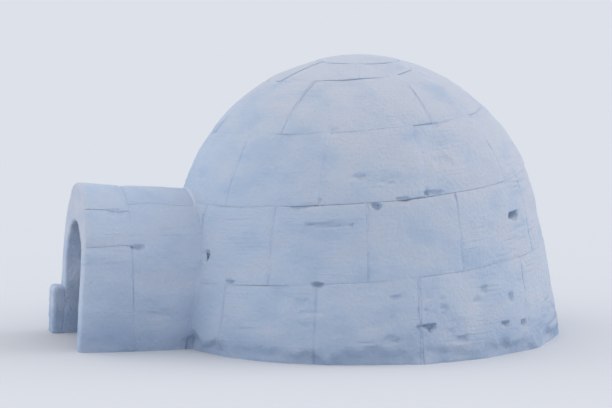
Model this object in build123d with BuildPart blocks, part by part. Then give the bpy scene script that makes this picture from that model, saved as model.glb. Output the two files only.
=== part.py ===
from build123d import *
import os
from math import asin, cos, degrees, radians, sin, tan

# A snow house: a dome of wind-packed snow blocks laid in one rising spiral, with a short
# vaulted entrance. Millimetres, +Z up. The origin is the middle of the dome's floor, and
# the entrance faces -Y.

# Dome, measured on its outside
foot_radius = 1315.0
dome_height = 1795.0
wall_lean = 11.0
foot_thickness = 205.0
crown_thickness = 160.0

# Spiral of blocks, in millimetres along the wall and in degrees around it
turns = 4
ramp_toe = 100.0
last_block_height = 157.0
key_radius = 260.0
block_length = 640.0
widest_block = 60
spiral_start = 45
lattice_step = 5
least_lap = 10
joint_width = 14.0

# Entrance passage and the vault over it
passage_width = 600.0
passage_height = 770.0
passage_reach = 585.0
front_ring_length = 350.0
vault_wall = 180.0
vault_crown_wall = 245.0
vault_fall = 4.4
mouth_lean = 4.0
front_ring_joints = (24.0, 52.0)
rear_ring_joints = (31.0, 59.0)

# Low block set against the foot of the left jamb, in front of the mouth
foot_block_height = 300.0
foot_block_depth = 64.0
foot_block_batter = 12.0

# The outside is a cone that leans in by wall_lean and runs smoothly into a sphere.
lean = radians(wall_lean)


def sphere_above(radius, height):
    """Centre height and radius of the sphere that tops a leaning wall of this foot radius."""
    centre = (height - radius * cos(lean)) / (1 - sin(lean))
    return centre, height - centre


centre_height, dome_radius = sphere_above(foot_radius, dome_height)
room_foot = foot_radius - foot_thickness
room_height = dome_height - crown_thickness
room_centre, room_radius = sphere_above(room_foot, room_height)
wall_length = (centre_height + dome_radius * sin(lean)) / cos(lean)

# Distances along the outside of the wall, from the ground up over the dome
key_distance = wall_length + dome_radius * (radians(90) - lean - asin(key_radius / dome_radius))
top_distance = wall_length + dome_radius * (radians(90) - lean)
course_rise = (key_distance - ramp_toe - last_block_height) / turns

# Every cutting form runs this far past the wall that it cuts.
overrun = 90.0
bed_depth = max(foot_thickness, crown_thickness) + overrun

# Angles along the spiral are counted from its toe, and the doorway lies at this one.
turn = 360
quarter_turn = turn / 4
turns_beside_doorway = 2
door_azimuth = -90
door_angle = (door_azimuth - spiral_start) % turn
door_half_angle = degrees(asin(passage_width / 2 / room_foot))
last_turn = turn * turns
spiral_end = last_turn + turn

# The mouth stands out from the dome's foot, and its arch is thickest at the crown.
mouth_distance = foot_radius + passage_reach
ring_joint_distance = mouth_distance - front_ring_length
mouth_crown = passage_height + vault_crown_wall
arch_radius = passage_width / 2
springing = passage_height - arch_radius
vault_half_width = arch_radius + vault_wall
tunnel_root = room_radius
root_crown = mouth_crown - (mouth_distance - tunnel_root) * tan(radians(vault_fall))
mouth_slope = tan(radians(mouth_lean))


def slope_at(distance):
    """Slope of the wall's outward normal above the horizontal, in radians."""
    return lean + max(0, distance - wall_length) / dome_radius


def face_point(distance):
    """Radius and height of the point this far up the outside of the wall."""
    if distance < wall_length:
        return foot_radius - distance * sin(lean), distance * cos(lean)
    slope = slope_at(distance)
    return dome_radius * cos(slope), centre_height + dome_radius * sin(slope)


def bed_ends(distance):
    """Outer and inner end of a bed line, square to the wall and longer than it is thick."""
    radius, height = face_point(distance)
    across, up = cos(slope_at(distance)), sin(slope_at(distance))
    outer = (radius + overrun * across, height + overrun * up)
    inner = (radius - bed_depth * across, height - bed_depth * up)
    return outer, inner


def bed_distance(angle):
    """How far up the wall the spiral's bed has climbed at this angle from its toe."""
    return ramp_toe + course_rise * angle / turn


def upright_plane(angle):
    """Plane through the dome's axis: x runs outwards, y runs up."""
    azimuth = radians(spiral_start + angle)
    outwards = Vector(cos(azimuth), sin(azimuth), 0)
    return Plane(origin=(0, 0, 0), x_dir=outwards, z_dir=outwards.cross(Vector(0, 0, 1)))


def block_corners(angle, on_ground, under_key):
    """Corners of the block's upright section at this angle of the spiral."""
    if under_key:
        top_outer, top_inner = bed_ends((key_distance + top_distance) / 2)
    else:
        top_outer, top_inner = bed_ends(bed_distance(angle))
    if on_ground:
        low_outer = (foot_radius + overrun, -overrun)
        low_inner = (room_foot - bed_depth, -overrun)
    else:
        low_outer, low_inner = bed_ends(bed_distance(angle - turn))
    return low_outer, top_outer, top_inner, low_inner


def head_joints():
    """Angles where blocks meet end to end, found by walking up the spiral from its toe."""
    joints = [0]
    while joints[-1] < spiral_end:
        last = joints[-1]
        middle_radius = face_point(min(bed_distance(last) - course_rise / 2, key_distance))[0]
        if last < turn:
            middle_radius = foot_radius
        steps = max(1, round(degrees(block_length / middle_radius) / lattice_step))
        width = min(steps * lattice_step, widest_block)
        angle = last + width
        while not breaks_joint(angle, joints) or not clears_doorway(angle):
            angle += lattice_step
        for stop in (turn, last_turn, spiral_end):
            if last < stop < angle + width / 2:
                angle = stop
        joints.append(angle)
    return joints


def breaks_joint(angle, joints):
    """True where a joint stands clear of those in the turn below."""
    return all(abs(angle - turn - joint) >= least_lap for joint in joints)


def clears_doorway(angle):
    """True where a joint leaves no thin end of a block beside or over the doorway."""
    beside = abs(angle % turn - door_angle)
    if angle < turn:
        return beside <= lattice_step or beside >= door_half_angle + widest_block / 4
    return angle > turns_beside_doorway * turn or beside >= door_half_angle + lattice_step / 2


def arch_face(half_width, crown):
    """Upright jambs and a half-round head, from the ground to the crown."""
    spring = crown - half_width
    with BuildSketch() as arch:
        with BuildLine():
            Polyline((half_width, spring), (half_width, 0), (-half_width, 0), (-half_width, spring))
            ThreePointArc((-half_width, spring), (0, crown), (half_width, spring))
        make_face()
    return arch.sketch


passage_arch = arch_face(arch_radius, passage_height)
mouth_arch = arch_face(vault_half_width, mouth_crown)
root_arch = arch_face(vault_half_width, root_crown)

# Passage: the clear way from the mouth to the middle of the floor
with BuildPart() as passage:
    with BuildSketch(Plane.XZ.offset(mouth_distance + overrun)):
        add(passage_arch)
    extrude(amount=-(mouth_distance + overrun))

# Dome body: the whole mass inside the outer face, used to shape what leans on it
with BuildPart() as dome_body:
    with BuildSketch(Plane.XZ):
        with BuildLine():
            shoulder = face_point(wall_length)
            Polyline((0, dome_height), (0, 0), (foot_radius, 0), shoulder)
            RadiusArc(shoulder, (0, dome_height), -dome_radius)
        make_face()
    revolve(axis=Axis.Z)

# Shell: the dome's wall in one mass, hollowed and with its doorway, before it is parted
with BuildPart() as shell:
    add(dome_body.part)
    with BuildSketch(Plane.XZ):
        with BuildLine():
            room_shoulder = (room_radius * cos(lean), room_centre + room_radius * sin(lean))
            Polyline((0, room_height), (0, 0), (room_foot, 0), room_shoulder)
            RadiusArc(room_shoulder, (0, room_height), -room_radius)
        make_face()
    revolve(axis=Axis.Z, mode=Mode.SUBTRACT)
    add(passage.part, mode=Mode.SUBTRACT)

# Key opening: the tapered hole that is left at the top of the spiral
with BuildPart() as key_opening:
    with BuildSketch(Plane.XZ):
        with BuildLine():
            key_outer, key_inner = bed_ends(key_distance)
            Polyline((0, key_outer[1]), key_outer, key_inner, (0, key_inner[1]), close=True)
        make_face()
    revolve(axis=Axis.Z)


def spiral_piece(first, last, trim_first, trim_last, on_ground, under_key):
    """The part of the shell between two turns of the bed, from one angle to another."""
    with BuildPart() as piece:
        for angle in range(first, last + lattice_step, lattice_step):
            with BuildSketch(upright_plane(angle)):
                with BuildLine():
                    Polyline(*block_corners(angle, on_ground, under_key), close=True)
                make_face()
        loft(ruled=True)
        add(shell.part, mode=Mode.INTERSECT)
        if under_key:
            add(key_opening.part, mode=Mode.SUBTRACT)
        split(bisect_by=trim_first, keep=Keep.BOTTOM)
        split(bisect_by=trim_last, keep=Keep.TOP)
    return piece.part


def snow_block(start, end):
    """One block, its ends cut back by half a joint."""
    half_joint = joint_width / 2
    return spiral_piece(
        start,
        end,
        upright_plane(start).offset(-half_joint),
        upright_plane(end).offset(half_joint),
        start < turn,
        start >= last_turn,
    )


def joint_filling(joint):
    """The snow packed between two blocks that meet at this joint."""
    half_joint = joint_width / 2
    return spiral_piece(
        joint - lattice_step,
        joint + lattice_step,
        upright_plane(joint).offset(half_joint),
        upright_plane(joint).offset(-half_joint),
        joint <= turn,
        joint >= last_turn,
    )


def side_of(start, end):
    """Which quarter of the dome the middle of a block stands in, facing the entrance."""
    azimuth = (spiral_start + (start + end) / 2 - door_azimuth) % turn
    quarters = ("front_right", "back_right", "back_left", "front_left")
    return quarters[int(azimuth // quarter_turn)]


def write_piece(name, part):
    """Labels a finished piece and writes it to its own file."""
    part.label = name
    export_step(part, "parts/" + name + ".step")
    print(name, len(part.solids()), round(part.volume / 1e6, 1), "litres")


os.makedirs("parts", exist_ok=True)

# Spiral of blocks: each turn is kept in quarters, and the block over the doorway by itself
turn_names = ["ramp_ring", "second_ring", "third_ring", "fourth_ring", "closing_ring"]
joints = head_joints()
spiral = {}
for start, end in zip(joints, joints[1:]):
    ring = turn_names[start // turn]
    over_doorway = start < turn + door_angle < end
    name = "doorway_lintel" if over_doorway else ring + "_" + side_of(start, end)
    spiral.setdefault(name, []).append(snow_block(start, end))

# Chinking: loose snow packed into the upright joints, turn by turn
for joint in joints[1:-1]:
    in_doorway = joint < turn and abs(joint - door_angle) < door_half_angle
    if not in_doorway:
        ring = turn_names[0 if joint <= turn else joint // turn]
        spiral.setdefault(ring + "_chinking", []).append(joint_filling(joint))

for name, pieces in spiral.items():
    with BuildPart() as spiral_node:
        add(pieces)
    write_piece(name, spiral_node.part)

# King block: the last block, dropped in from above to close the spiral
with BuildPart() as king_block:
    add(key_opening.part)
    add(shell.part, mode=Mode.INTERSECT)
write_piece("king_block", king_block.part)

# Vault: the entrance's arched wall in one mass, falling slightly towards the dome, its mouth
# leaning back
with BuildPart() as vault:
    with BuildSketch(Plane.XZ.offset(mouth_distance)):
        add(mouth_arch)
    with BuildSketch(Plane.XZ.offset(tunnel_root)):
        add(root_arch)
    loft(ruled=True)
    mouth_plane = Plane(origin=(0, -mouth_distance, 0), z_dir=(0, -1, mouth_slope))
    split(bisect_by=mouth_plane, keep=Keep.BOTTOM)
    add(passage.part, mode=Mode.SUBTRACT)
    add(dome_body.part, mode=Mode.SUBTRACT)


def vault_block(front, back, corners):
    """The part of the vault between two distances and inside a sector of its arch."""
    with BuildPart() as piece:
        with BuildSketch(Plane.XZ.offset(front)):
            with BuildLine():
                Polyline((0, springing), *corners, close=True)
            make_face()
        extrude(amount=-(front - back))
        add(vault.part, mode=Mode.INTERSECT)
    return piece.part


def arch_point(angle):
    """A point well outside the vault, at this angle round the arch's centre."""
    reach = 2 * mouth_crown
    return reach * cos(radians(angle)), springing + reach * sin(radians(angle))


# Entrance rings: in each, two upright jambs, two leaning haunches and a crown block
for ring, front, back, ring_joints in (
    ("front", mouth_distance, ring_joint_distance, front_ring_joints),
    ("rear", ring_joint_distance, tunnel_root, rear_ring_joints),
):
    low, high = ring_joints
    ground_right = (arch_point(0)[0], -overrun)
    ground_left = (arch_point(180)[0], -overrun)
    sectors = {
        "right_jamb": (arch_point(low), ground_right, (0, -overrun)),
        "right_haunch": (arch_point(low), arch_point(high)),
        "crown_block": (arch_point(high), arch_point(180 - high)),
        "left_haunch": (arch_point(180 - low), arch_point(180 - high)),
        "left_jamb": (arch_point(180 - low), ground_left, (0, -overrun)),
    }
    for piece_name, corners in sectors.items():
        write_piece("entrance_" + ring + "_" + piece_name, vault_block(front, back, corners))

# Foot block: its face leans back a little, its back lies against the mouth, and its top
# front edge is worn round
with BuildPart() as entrance_foot_block:
    with BuildSketch(Plane.YZ.offset(-vault_half_width)):
        with BuildLine():
            foot_front = -mouth_distance - foot_block_depth
            Polyline(
                (-mouth_distance, 0),
                (foot_front, 0),
                (foot_front + foot_block_batter, foot_block_height),
                (-mouth_distance + foot_block_height * mouth_slope, foot_block_height),
                close=True,
            )
        make_face()
    extrude(amount=vault_wall)
    worn_edge = entrance_foot_block.edges().filter_by(Axis.X).group_by(Axis.Z)[-1].sort_by(Axis.Y)[0]
    fillet(worn_edge, radius=foot_block_depth / 3)
write_piece("entrance_foot_block", entrance_foot_block.part)
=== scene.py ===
from math import asin, cos, degrees, pi, radians, sin, sqrt, tan

import bmesh
import bpy
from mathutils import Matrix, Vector, noise


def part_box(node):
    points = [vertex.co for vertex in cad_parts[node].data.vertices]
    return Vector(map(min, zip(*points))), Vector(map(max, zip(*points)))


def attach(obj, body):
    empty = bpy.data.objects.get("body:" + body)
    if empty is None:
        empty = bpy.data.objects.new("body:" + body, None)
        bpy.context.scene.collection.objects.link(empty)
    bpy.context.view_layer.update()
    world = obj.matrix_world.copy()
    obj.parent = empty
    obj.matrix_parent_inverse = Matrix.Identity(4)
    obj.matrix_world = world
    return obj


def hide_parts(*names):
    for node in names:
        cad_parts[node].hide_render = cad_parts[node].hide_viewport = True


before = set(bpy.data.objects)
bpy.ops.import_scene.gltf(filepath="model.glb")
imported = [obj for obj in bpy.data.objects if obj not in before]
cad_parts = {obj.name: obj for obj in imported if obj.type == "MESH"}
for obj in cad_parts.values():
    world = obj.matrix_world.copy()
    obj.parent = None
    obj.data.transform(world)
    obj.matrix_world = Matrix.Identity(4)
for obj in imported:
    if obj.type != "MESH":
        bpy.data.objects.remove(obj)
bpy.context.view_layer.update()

# Wall blocks of the dome. Each is sawn from wind-packed snow and laid on a bed that climbs
# round the wall in one spiral, leaning further in with every turn. The outside was rasped
# fair once the dome stood, and wind and frost have softened it since. Sizes are in metres.
foot_radius = 1.315
dome_height = 1.795
lean = radians(11.0)
room_foot = 1.110
room_height = 1.635
turn = 360
turns = 4
ramp_toe = 0.100
last_block_height = 0.157
key_radius = 0.260
block_length = 0.640
widest_block = 60
spiral_start = 45
lattice_step = 5
least_lap = 10
joint_width = 0.014
passage_width = 0.600
passage_height = 0.770
face_grid = 0.012
depth_layers = 9
least_rows = 6
edge_crowding = 0.75
crisp_angle = radians(35.0)


def sphere_above(radius, height):
    """Centre height and radius of the sphere that tops a leaning wall of this foot radius."""
    centre = (height - radius * cos(lean)) / (1 - sin(lean))
    return centre, height - centre


centre_height, dome_radius = sphere_above(foot_radius, dome_height)
room_centre, room_radius = sphere_above(room_foot, room_height)
wall_shoulder = centre_height + dome_radius * sin(lean)
wall_length = wall_shoulder / cos(lean)
top_distance = wall_length + dome_radius * (pi / 2 - lean)
key_distance = top_distance - dome_radius * asin(key_radius / dome_radius)
course_rise = (key_distance - ramp_toe - last_block_height) / turns
last_turn = turn * turns
spiral_end = last_turn + turn
door_azimuth = -90
door_angle = (door_azimuth - spiral_start) % turn
door_half_angle = degrees(asin(passage_width / 2 / room_foot))


def face_radius(distance):
    """Radius of the wall's outside, this far up it from the ground."""
    if distance < wall_length:
        return foot_radius - distance * sin(lean)
    return dome_radius * cos(lean + (distance - wall_length) / dome_radius)


def radius_at(height):
    """Radius of the wall's outside at this height."""
    if height < wall_shoulder:
        return foot_radius - height * tan(lean)
    return sqrt(dome_radius**2 - (height - centre_height) ** 2)


def bed_distance(angle):
    """How far up the wall the bed has climbed at this angle from the spiral's toe."""
    return ramp_toe + course_rise * angle / turn


def breaks_joint(angle, joints):
    """True where a joint stands clear of those in the turn below."""
    return all(abs(angle - turn - joint) >= least_lap for joint in joints)


def clears_doorway(angle):
    """True where a joint leaves no thin end of a block beside or over the doorway."""
    beside = abs(angle % turn - door_angle)
    if angle < turn:
        return beside <= lattice_step or beside >= door_half_angle + widest_block / 4
    return angle > 2 * turn or beside >= door_half_angle + lattice_step / 2


def head_joints():
    """Angles where blocks meet end to end, found by walking up the spiral from its toe."""
    joints = [0]
    while joints[-1] < spiral_end:
        last = joints[-1]
        middle = face_radius(min(bed_distance(last) - course_rise / 2, key_distance))
        if last < turn:
            middle = foot_radius
        steps = max(1, round(degrees(block_length / middle) / lattice_step))
        width = min(steps * lattice_step, widest_block)
        angle = last + width
        while not breaks_joint(angle, joints) or not clears_doorway(angle):
            angle += lattice_step
        for stop in (turn, last_turn, spiral_end):
            if last < stop < angle + width / 2:
                angle = stop
        joints.append(angle)
    return joints


class Flow:
    """What leaves a node's socket. Arithmetic on it adds Math nodes to the same tree."""

    def __init__(self, socket):
        self.socket = socket
        self.tree = socket.id_data

    def __add__(self, other):
        return calc("ADD", self, other)

    def __sub__(self, other):
        return calc("SUBTRACT", self, other)

    def __rsub__(self, other):
        return calc("SUBTRACT", other, self)

    def __mul__(self, other):
        return calc("MULTIPLY", self, other)

    def __truediv__(self, other):
        return calc("DIVIDE", self, other)

    __radd__, __rmul__ = __add__, __mul__


class Flows:
    """What leaves each of a node's sockets, by the socket's name or number."""

    def __init__(self, node):
        self.sockets = node.outputs

    def __getitem__(self, key):
        return Flow(self.sockets[key])


def feed(socket, value):
    """Gives a socket a plain value, or links it to what flows from another node."""
    if isinstance(value, Flow):
        value.tree.links.new(value.socket, socket)
    else:
        socket.default_value = value


def give(sockets, values):
    """Feeds several sockets, each by its name or number."""
    for key, value in values.items():
        feed(sockets[key], value)


def tree_of(values):
    """The node tree that the first flow among these values belongs to."""
    return next(value.tree for value in values if isinstance(value, Flow))


def place(kind, *values, tree=None, **settings):
    """A new node with these settings, its first sockets fed in order, in the values' tree."""
    made = (tree or tree_of(values)).nodes.new(kind)
    for name, value in settings.items():
        setattr(made, name, value)
    for socket, value in zip(made.inputs, values):
        if value is not None:
            feed(socket, value)
    return made


def flow(kind, *values, output=0, **settings):
    """What leaves one socket of a new node."""
    return Flow(place(kind, *values, **settings).outputs[output])


def calc(operation, *values):
    """The result of a Math node."""
    return flow("ShaderNodeMath", *values, operation=operation)


def vector_calc(operation, *values):
    """The result of a Vector Math node, which is a number for a length or a dot product."""
    output = "Value" if operation in ("LENGTH", "DOT_PRODUCT") else "Vector"
    return flow("ShaderNodeVectorMath", *values, operation=operation, output=output)


def between(share, low, high):
    """The number that lies this share of the way from low to high."""
    return calc("MULTIPLY_ADD", share, high - low, low)


def eased(value, start, end):
    """Nought before start, one after end, and a smooth rise between them."""
    return flow("ShaderNodeMapRange", value, start, end, 0.0, 1.0, interpolation_type="SMOOTHSTEP")


def cos_sin(angle):
    """Cosine and sine of an angle."""
    return calc("COSINE", angle), calc("SINE", angle)


def leg(longest, other):
    """The third side of a right-angled triangle, from its longest side and one other."""
    return calc("SQRT", longest * longest - other * other)


def round_edge(radius, gap):
    """How far the face falls back, this far from an edge that is worn to this radius."""
    return radius - leg(radius, calc("MAXIMUM", radius - gap, 0.0))


def point(x, y, z):
    """A vector from three numbers."""
    return flow("ShaderNodeCombineXYZ", x, y, z)


def parts(vector):
    """The three numbers of a vector."""
    return Flows(place("ShaderNodeSeparateXYZ", vector))


def rough(where, scale, detail=1.0):
    """Soft noise about nought, with this many lumps to the metre."""
    return flow("ShaderNodeTexNoise", where, None, scale, detail) - 0.5


def patches(where, scale, detail, start, end):
    """Soft-edged patches of this noise: nought between them and one well inside."""
    return eased(rough(where, scale, detail), start, end)


socket_kinds = {
    float: "NodeSocketFloat",
    int: "NodeSocketInt",
    Vector: "NodeSocketVector",
    tuple: "NodeSocketColor",
    bpy.types.Material: "NodeSocketMaterial",
    bpy.types.Object: "NodeSocketObject",
    None: "NodeSocketGeometry",
}
origin = Vector((0, 0, 0))


def new_tree(name, inputs, outputs, kind="GeometryNodeTree"):
    """A node tree with named inputs and outputs, given by their defaults or by their kinds."""
    tree = bpy.data.node_groups.new(name, kind)
    for title, value in inputs.items():
        is_kind = value is None or isinstance(value, type)
        kind_of = value if is_kind else type(value)
        made = tree.interface.new_socket(title, in_out="INPUT", socket_type=socket_kinds[kind_of])
        if not is_kind:
            made.default_value = value
    for title, value in outputs.items():
        tree.interface.new_socket(title, in_out="OUTPUT", socket_type=socket_kinds[value])
    return tree, Flows(tree.nodes.new("NodeGroupInput")), tree.nodes.new("NodeGroupOutput").inputs


def use_group(group, values):
    """What leaves a node group that gets these values by name."""
    tree = tree_of(values.values())
    shader = tree.bl_idname == "ShaderNodeTree"
    made = tree.nodes.new("ShaderNodeGroup" if shader else "GeometryNodeGroup")
    made.node_tree = group
    give(made.inputs, values)
    return Flows(made)


def those(given, titles):
    """The inputs of these titles, to be handed on to a group."""
    return {title: given[title] for title in titles}


wall_sizes = {
    "Foot Radius": foot_radius,
    "Wall Lean": lean,
    "Wall Length": wall_length,
    "Centre Height": centre_height,
    "Dome Radius": dome_radius,
    "Room Foot": room_foot,
    "Room Shoulder": room_centre + room_radius * sin(lean),
    "Room Centre": room_centre,
    "Room Radius": room_radius,
}

# The wall's upright section: its outer face this far up, and how thick it is on a bed line.
wall_section, given, result = new_tree(
    "wall section",
    {"Distance": 0.0, "Squareness": 1.0, **wall_sizes},
    dict.fromkeys(("Radius", "Height", "Across", "Up", "Thickness"), float),
)
distance, ball = given["Distance"], given["Dome Radius"]
past_cone = calc("MAXIMUM", distance - given["Wall Length"], 0.0)
slope = given["Wall Lean"] + past_cone / ball
slope_cos, slope_sin = cos_sin(slope)
lean_cos, lean_sin = cos_sin(given["Wall Lean"])
lean_tan = calc("TANGENT", given["Wall Lean"])
on_cone = calc("LESS_THAN", distance, given["Wall Length"])
radius = between(on_cone, ball * slope_cos, given["Foot Radius"] - distance * lean_sin)
height = between(on_cone, ball * slope_sin + given["Centre Height"], distance * lean_cos)
across, up = cos_sin(slope * given["Squareness"])
reach = height * lean_tan + radius - given["Room Foot"]
cone_depth = reach / (up * lean_tan + across)
drop = given["Centre Height"] - given["Room Centre"]
ball_depth = drop * slope_sin + ball - leg(given["Room Radius"], drop * slope_cos)
in_ball = calc("GREATER_THAN", height - cone_depth * up, given["Room Shoulder"])
thickness = between(in_ball, cone_depth, ball_depth)
section = {"Radius": radius, "Height": height, "Across": across, "Up": up, "Thickness": thickness}
give(result, section)

# Weather on a snow face: it swells and sinks softly, the snow knife has left shallow facets
# and a few long scrapes on it, and its edges are worn round, in places deeply, where the
# loose snow between two blocks has gone.
weathered_face, given, result = new_tree(
    "weathered face",
    {
        "Point": origin,
        "Bed Gap": 1.0,
        "Head Gap": 1.0,
        "Opened": 0.0,
        "Swell": 0.011,
        "Lump": 0.005,
        "Ripple": 0.0012,
        "Facet": 0.013,
        "Scrape": 0.009,
        "Least Wear": 0.0008,
        "Most Wear": 0.009,
        "Shoulder Width": 0.050,
        "Shoulder Depth": 0.0040,
    },
    {"Inset": float},
)
swells_to_metre, lumps_to_metre, ripples_to_metre = 1.7, 6.0, 18.0
facet_stretch, facets_to_metre, facet_softness, middle_facet = (0.55, 0.55, 1.0), 7.0, 0.7, 0.45
scrape_stretch, scrape_noise, scrape_breadth = (0.2, 0.2, 1.0), (7.0, 2.0), 0.035
scraped_patches = (2.6, 2.0, 0.0, 0.18)
wear_shift, loose_patches, soft_patches = (7.3, 2.1, 4.9), (2.3, 2.0, 0.03, 0.27), (3.1, 1.0, -0.14, 0.16)
least_shoulder, opened_shoulder = 0.15, 1.8
where = given["Point"]
swell = rough(where, swells_to_metre) * given["Swell"] + rough(where, lumps_to_metre) * given["Lump"]
swell = swell + rough(where, ripples_to_metre, 0.0) * given["Ripple"]
cells = place("ShaderNodeTexVoronoi", vector_calc("MULTIPLY", where, facet_stretch), feature="SMOOTH_F1")
give(cells.inputs, {"Scale": facets_to_metre, "Smoothness": facet_softness})
facets = (Flows(cells)["Distance"] - middle_facet) * given["Facet"]
stroke = calc("ABSOLUTE", rough(vector_calc("MULTIPLY", where, scrape_stretch), *scrape_noise))
scraped = (1 - eased(stroke, 0.0, scrape_breadth)) * patches(where, *scraped_patches)
relief = swell * 2.0 + facets - scraped * given["Scrape"]
shifted = vector_calc("ADD", where, wear_shift)
loose = calc("MAXIMUM", patches(shifted, *loose_patches), given["Opened"])
wear_radius = between(loose, given["Least Wear"], given["Most Wear"])
bed_wear, head_wear = (round_edge(wear_radius, given[gap]) for gap in ("Bed Gap", "Head Gap"))
least_gap = calc("MINIMUM", given["Bed Gap"], given["Head Gap"])
nearness = calc("MAXIMUM", 1 - least_gap / given["Shoulder Width"], 0.0)
softened = patches(shifted, *soft_patches) + least_shoulder
softened = calc("MAXIMUM", softened, given["Opened"] * opened_shoulder)
shoulder = calc("POWER", nearness, 2.0) * softened * given["Shoulder Depth"]
give(result, {"Inset": calc("MAXIMUM", bed_wear, head_wear) + shoulder - relief})


def grid_cube(sides, *counts):
    """A cube with these counts of points a side, and the three coordinates of each point."""
    cube = flow("GeometryNodeMeshCube", sides, *counts)
    return cube, parts(flow("GeometryNodeInputPosition", tree=cube.tree))


def block_grid(given):
    """A block's grid, and how far along it, inward and up or forward each point lies, with
    more points near the edges."""
    counts = (given["Columns"], given["Layers"], given["Rows"])
    cube, spot = grid_cube((1.0, 1.0, 1.0), *counts)
    return cube, *(between(edge_crowding, axis + 0.5, eased(axis, -0.5, 0.5)) for axis in spot)


def drawn(number, seed):
    """A fixed random draw between -1 and 1 for the block of this number."""
    dice = place("FunctionNodeRandomValue", tree=number.tree, data_type="FLOAT")
    give(dice.inputs, {2: -1.0, 3: 1.0, "ID": number, "Seed": seed})
    return Flow(dice.outputs[1])


def in_use(sockets, name):
    """The socket of this name that the node's settings have switched on."""
    return next(socket for socket in sockets if socket.name == name and socket.enabled)


def stored(mesh, name, kind, value):
    """Keeps a value on the mesh's points under this name, for the material to read."""
    made = place("GeometryNodeStoreNamedAttribute", mesh, data_type=kind, domain="POINT")
    made.inputs["Name"].default_value = name
    feed(in_use(made.inputs, "Value"), value)
    return Flow(made.outputs[0])


# The direction of the painted light: the more a face turns this way, up and toward the key light, the
# lighter its colour is painted.
lit_from = (0.12, 0.36, 0.92)


def end_of_tree(mesh, seat, face, rim_light_pit_shade, given, result):
    """Moves the points to their seat, shades them smooth up to crisp arrises, keeps what the
    material reads, and ends in Realize Instances and Set Material."""
    mesh = stored(mesh, "block_face", "FLOAT_VECTOR", face)
    # Painted rim light and chip shade, which the material adds to the share of the lighter tone.
    mesh = stored(mesh, "rim_light_pit_shade", "FLOAT", rim_light_pit_shade)
    mesh = flow("GeometryNodeSetPosition", mesh, None, seat)
    normal = flow("GeometryNodeInputNormal", tree=mesh.tree)
    # Lie: how far each point faces the painted light's direction.
    mesh = stored(mesh, "lie", "FLOAT", vector_calc("DOT_PRODUCT", normal, lit_from))
    mesh = flow("GeometryNodeSetShadeSmooth", mesh, domain="FACE")
    angle = flow("GeometryNodeInputMeshEdgeAngle", tree=mesh.tree)
    sharp = calc("GREATER_THAN", angle, crisp_angle)
    mesh = flow("GeometryNodeSetShadeSmooth", mesh, sharp, False, domain="EDGE")
    mesh = flow("GeometryNodeRealizeInstances", mesh)
    give(result, {"Geometry": flow("GeometryNodeSetMaterial", mesh, None, given["Material"])})


# Chips: a bowl with a ragged rim, steep above and drawn out below, at the nearest point of
# the chips, which carries the chip's half width, half height and depth.
chip_inputs = {"Point": origin, "Chips": bpy.types.Object, "Raggedness": 1.9}
chipped_snow, given, result = new_tree("chipped snow", chip_inputs, {"Depth": float})
steeper_above = 0.3
rim_noise, rim_from, rim_to = (17.0, 4.0), 0.45, 1.05
chip_mesh = flow(
    "GeometryNodeObjectInfo", given["Chips"], transform_space="ORIGINAL", output="Geometry"
)
nearest = flow("GeometryNodeSampleNearest", chip_mesh, given["Point"], domain="POINT")


def of_chip(value):
    """A value that the nearest chip carries."""
    sample = place("GeometryNodeSampleIndex", chip_mesh, data_type="FLOAT_VECTOR", domain="POINT")
    feed(in_use(sample.inputs, "Value"), value)
    feed(sample.inputs["Index"], nearest)
    return Flow(in_use(sample.outputs, "Value"))


carried = place("GeometryNodeInputNamedAttribute", tree=chipped_snow, data_type="FLOAT_VECTOR")
carried.inputs["Name"].default_value = "chip"
half_width, half_height, chip_depth = parts(of_chip(Flow(in_use(carried.outputs, "Attribute"))))
chip_middle = of_chip(flow("GeometryNodeInputPosition", tree=chipped_snow))
off = vector_calc("SUBTRACT", given["Point"], chip_middle)
aside = vector_calc("LENGTH", vector_calc("MULTIPLY", off, (1.0, 1.0, 0.0)))
above = parts(off)["Z"]
above = calc("ABSOLUTE", above) * steeper_above + above
reach = calc("POWER", aside / half_width, 2.0)
reach = reach + calc("POWER", calc("ABSOLUTE", above / half_height), 2.0)
rim = rough(given["Point"], *rim_noise) * given["Raggedness"]
chipped = 1 - eased(rim + calc("SQRT", reach), rim_from, rim_to)
give(result, {"Depth": chipped * chip_depth})

# The block itself: a grid block whose length follows the spiral, whose height reaches from
# the bed below to the bed above, and whose depth follows the bed lines through the wall.
block_inputs = {
    "Block Number": 0,
    "Columns": 40,
    "Rows": 40,
    "Layers": depth_layers,
    "Stagger": 0.0025,
    "Chips": bpy.types.Object,
    "Material": bpy.types.Material,
}
block_tree, given, result = new_tree(
    "spiral snow block",
    {
        "Start Angle": 0.0,
        "End Angle": 30.0,
        "Half Joint": joint_width / 2,
        "On Ground": 0.0,
        "Under Key": 0.0,
        "Ramp Toe": ramp_toe,
        "Course Rise": course_rise,
        "Key Distance": key_distance,
        "Spiral Start": float(spiral_start),
        "Wander": 0.022,
        "Flatness": 0.004,
        "Lump": 0.005,
        "Most Wear": 0.009,
        "Undercut": 0.042,
        "Crumbs": 0.0,
        **block_inputs,
        **wall_sizes,
    },
    {"Geometry": None},
)
cube, along, inward, upward = block_grid(given)
end_along, end_up = 1 - along, 1 - upward
angle = between(along, given["Start Angle"], given["End Angle"])
waves_to_turn = 9.0


def climb(spiral_angle):
    """The bed's distance up the wall at this angle of the spiral."""
    turned = spiral_angle / turn
    wander = rough(point(turned, 0.0, 0.0), waves_to_turn, 2.0) * given["Wander"]
    return turned * given["Course Rise"] + given["Ramp Toe"] + wander


low_bed = climb(angle - turn) * (1 - given["On Ground"])
high_bed = between(given["Under Key"], climb(angle), given["Key Distance"])
course = high_bed - low_bed
wall_values = {
    "Distance": between(upward, low_bed, high_bed),
    "Squareness": between(given["On Ground"], 1.0, upward),
    **those(given, wall_sizes),
}
wall = use_group(wall_section, wall_values)
azimuth = calc("RADIANS", angle + given["Spiral Start"])
azimuth_cos, azimuth_sin = cos_sin(azimuth)


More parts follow.
